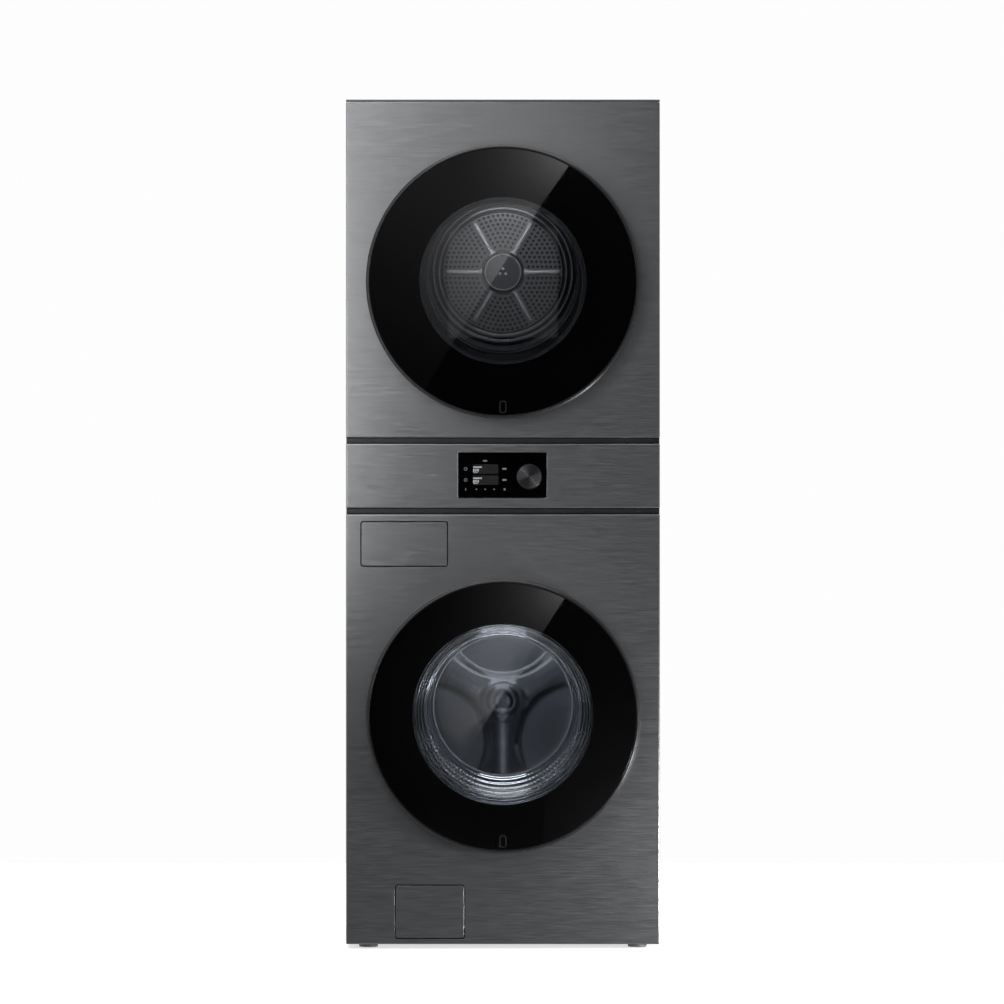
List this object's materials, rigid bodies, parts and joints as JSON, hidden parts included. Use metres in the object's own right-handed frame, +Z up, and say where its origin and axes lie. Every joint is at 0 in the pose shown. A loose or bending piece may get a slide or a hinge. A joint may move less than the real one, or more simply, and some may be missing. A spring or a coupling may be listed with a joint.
{
  "type": "washer dryer stack",
  "caption": "One-body laundry tower: front-loading washer below, dryer above, with round glass doors, a control strip with a dial between them, a detergent drawer and a drain filter flap",
  "frame": {"origin": "centre of the bounding box's bottom face, on the floor under the middle of the cabinet", "axes": "+Z up, +Y to the back, so the doors face -Y, and +X to the right as seen from the front"},
  "size_m": [0.686, 0.83, 1.856],
  "materials": {
    "cabinet_sheet": "satin powder coat",
    "brushed_dark_steel": "fine horizontal brushing",
    "zinc_sheet": "plain zinc coated sheet",
    "black_trim": "dark strip between the panels",
    "door_ring": "polished black ring",
    "black_glass": "polished dark glass with a clear middle",
    "clear_bowl": "clear moulded glass",
    "spun_metal": "spun metal face",
    "stainless": "stainless sheet",
    "rubber_grey": "matt grey rubber",
    "grey_plastic": "moulded plastic",
    "white_plastic": "moulded plastic",
    "weight_iron": "rough casting",
    "winding_copper": "lacquered winding",
    "belt_rubber": "ribbed belt",
    "board": "circuit board"
  },
  "bodies": {
    "cabinet": {"foot_front_left": "rubber_grey", "foot_front_right": "rubber_grey", "foot_rear_left": "rubber_grey", "foot_rear_right": "rubber_grey", "washer_base_pan": "zinc_sheet", "washer_side_left": "cabinet_sheet", "washer_side_right": "cabinet_sheet", "washer_rear_panel": "zinc_sheet", "washer_front_panel": "brushed_dark_steel", "mid_deck": "zinc_sheet", "trim_strip_lower": "black_trim", "control_fascia": "brushed_dark_steel", "trim_strip_upper": "black_trim", "display_glass": "black_glass", "control_board": "board", "dryer_side_left": "cabinet_sheet", "dryer_side_right": "cabinet_sheet", "dryer_rear_panel": "zinc_sheet", "dryer_front_panel": "brushed_dark_steel", "top_cover": "cabinet_sheet", "washer_tub": "grey_plastic", "door_boot": "rubber_grey", "tub_counterweight": "weight_iron", "tub_spring_left": "stainless", "tub_spring_right": "stainless", "tub_damper_left": "grey_plastic", "tub_damper_right": "grey_plastic", "motor_stator": "winding_copper", "drain_pump": "grey_plastic", "water_inlet_valve": "grey_plastic", "dispenser_housing": "grey_plastic", "washer_hinge_bracket": "stainless", "dryer_hinge_bracket": "stainless", "dryer_bulkhead": "grey_plastic", "dryer_motor": "zinc_sheet", "blower_housing": "zinc_sheet", "heater_duct": "zinc_sheet", "drive_belt": "belt_rubber"},
    "washer_door": {"washer_door_frame": "door_ring", "washer_door_glass": "black_glass", "washer_door_bowl": "clear_bowl", "washer_door_hook": "stainless"},
    "dryer_door": {"dryer_door_frame": "door_ring", "dryer_door_glass": "black_glass", "dryer_door_liner": "clear_bowl"},
    "detergent_drawer": {"drawer_front": "brushed_dark_steel", "drawer_tray": "white_plastic"},
    "service_flap": {"filter_flap": "brushed_dark_steel"},
    "filter_cap": {"drain_filter_cap": "grey_plastic"},
    "dial": {"dial_knob": "spun_metal"},
    "wash_drum": {"washer_drum": "stainless", "washer_drum_back": "stainless", "motor_rotor": "zinc_sheet", "washer_lifter_1": "grey_plastic", "washer_lifter_2": "grey_plastic", "washer_lifter_3": "grey_plastic"},
    "tumble_drum": {"dryer_drum": "stainless", "dryer_drum_back": "stainless"},
    "motor_shaft": {"fan_and_pulley_shaft": "grey_plastic"},
    "lint_screen": {"lint_filter": "grey_plastic"}
  },
  "joints": [
    {"name": "washer_door_hinge", "type": "hinge", "parent": "cabinet", "child": "washer_door", "pos_m": [-0.287, -0.401, 0.5084], "axis": [0, 0, -1], "range_deg": [0, 150]},
    {"name": "dryer_door_hinge", "type": "hinge", "parent": "cabinet", "child": "dryer_door", "pos_m": [-0.287, -0.401, 1.457], "axis": [0, 0, -1], "range_deg": [0, 150]},
    {"name": "detergent_drawer_slide", "type": "slide", "parent": "cabinet", "child": "detergent_drawer", "axis": [0, -1, 0], "range_m": [0, 0.25]},
    {"name": "service_flap_hinge", "type": "hinge", "parent": "cabinet", "child": "service_flap", "pos_m": [-0.1595, -0.377, 0.029], "axis": [1, 0, 0], "range_deg": [0, 90]},
    {"name": "filter_cap_turn", "type": "hinge", "parent": "cabinet", "child": "filter_cap", "pos_m": [-0.15, -0.355, 0.084], "axis": [0, -1, 0], "range_deg": [0, 100]},
    {"name": "dial_turn", "type": "hinge", "parent": "cabinet", "child": "dial", "pos_m": [0.0575, -0.38, 1.032], "axis": [0, -1, 0], "continuous": true},
    {"name": "wash_drum_spin", "type": "hinge", "parent": "cabinet", "child": "wash_drum", "pos_m": [0, 0, 0.528], "axis": [0, -1, 0], "continuous": true},
    {"name": "tumble_drum_spin", "type": "hinge", "parent": "cabinet", "child": "tumble_drum", "pos_m": [0, 0, 1.496], "axis": [0, -1, 0], "continuous": true},
    {"name": "motor_spin", "type": "hinge", "parent": "cabinet", "child": "motor_shaft", "pos_m": [0.17, 0, 1.135], "axis": [0, -1, 0], "continuous": true},
    {"name": "lint_screen_slide", "type": "slide", "parent": "cabinet", "child": "lint_screen", "axis": [0, 0, 1], "range_m": [0, 0.15]}
  ],
  "couplings": [
    {"joint": "motor_spin", "follows": "tumble_drum_spin", "ratio": 25.174}
  ]
}
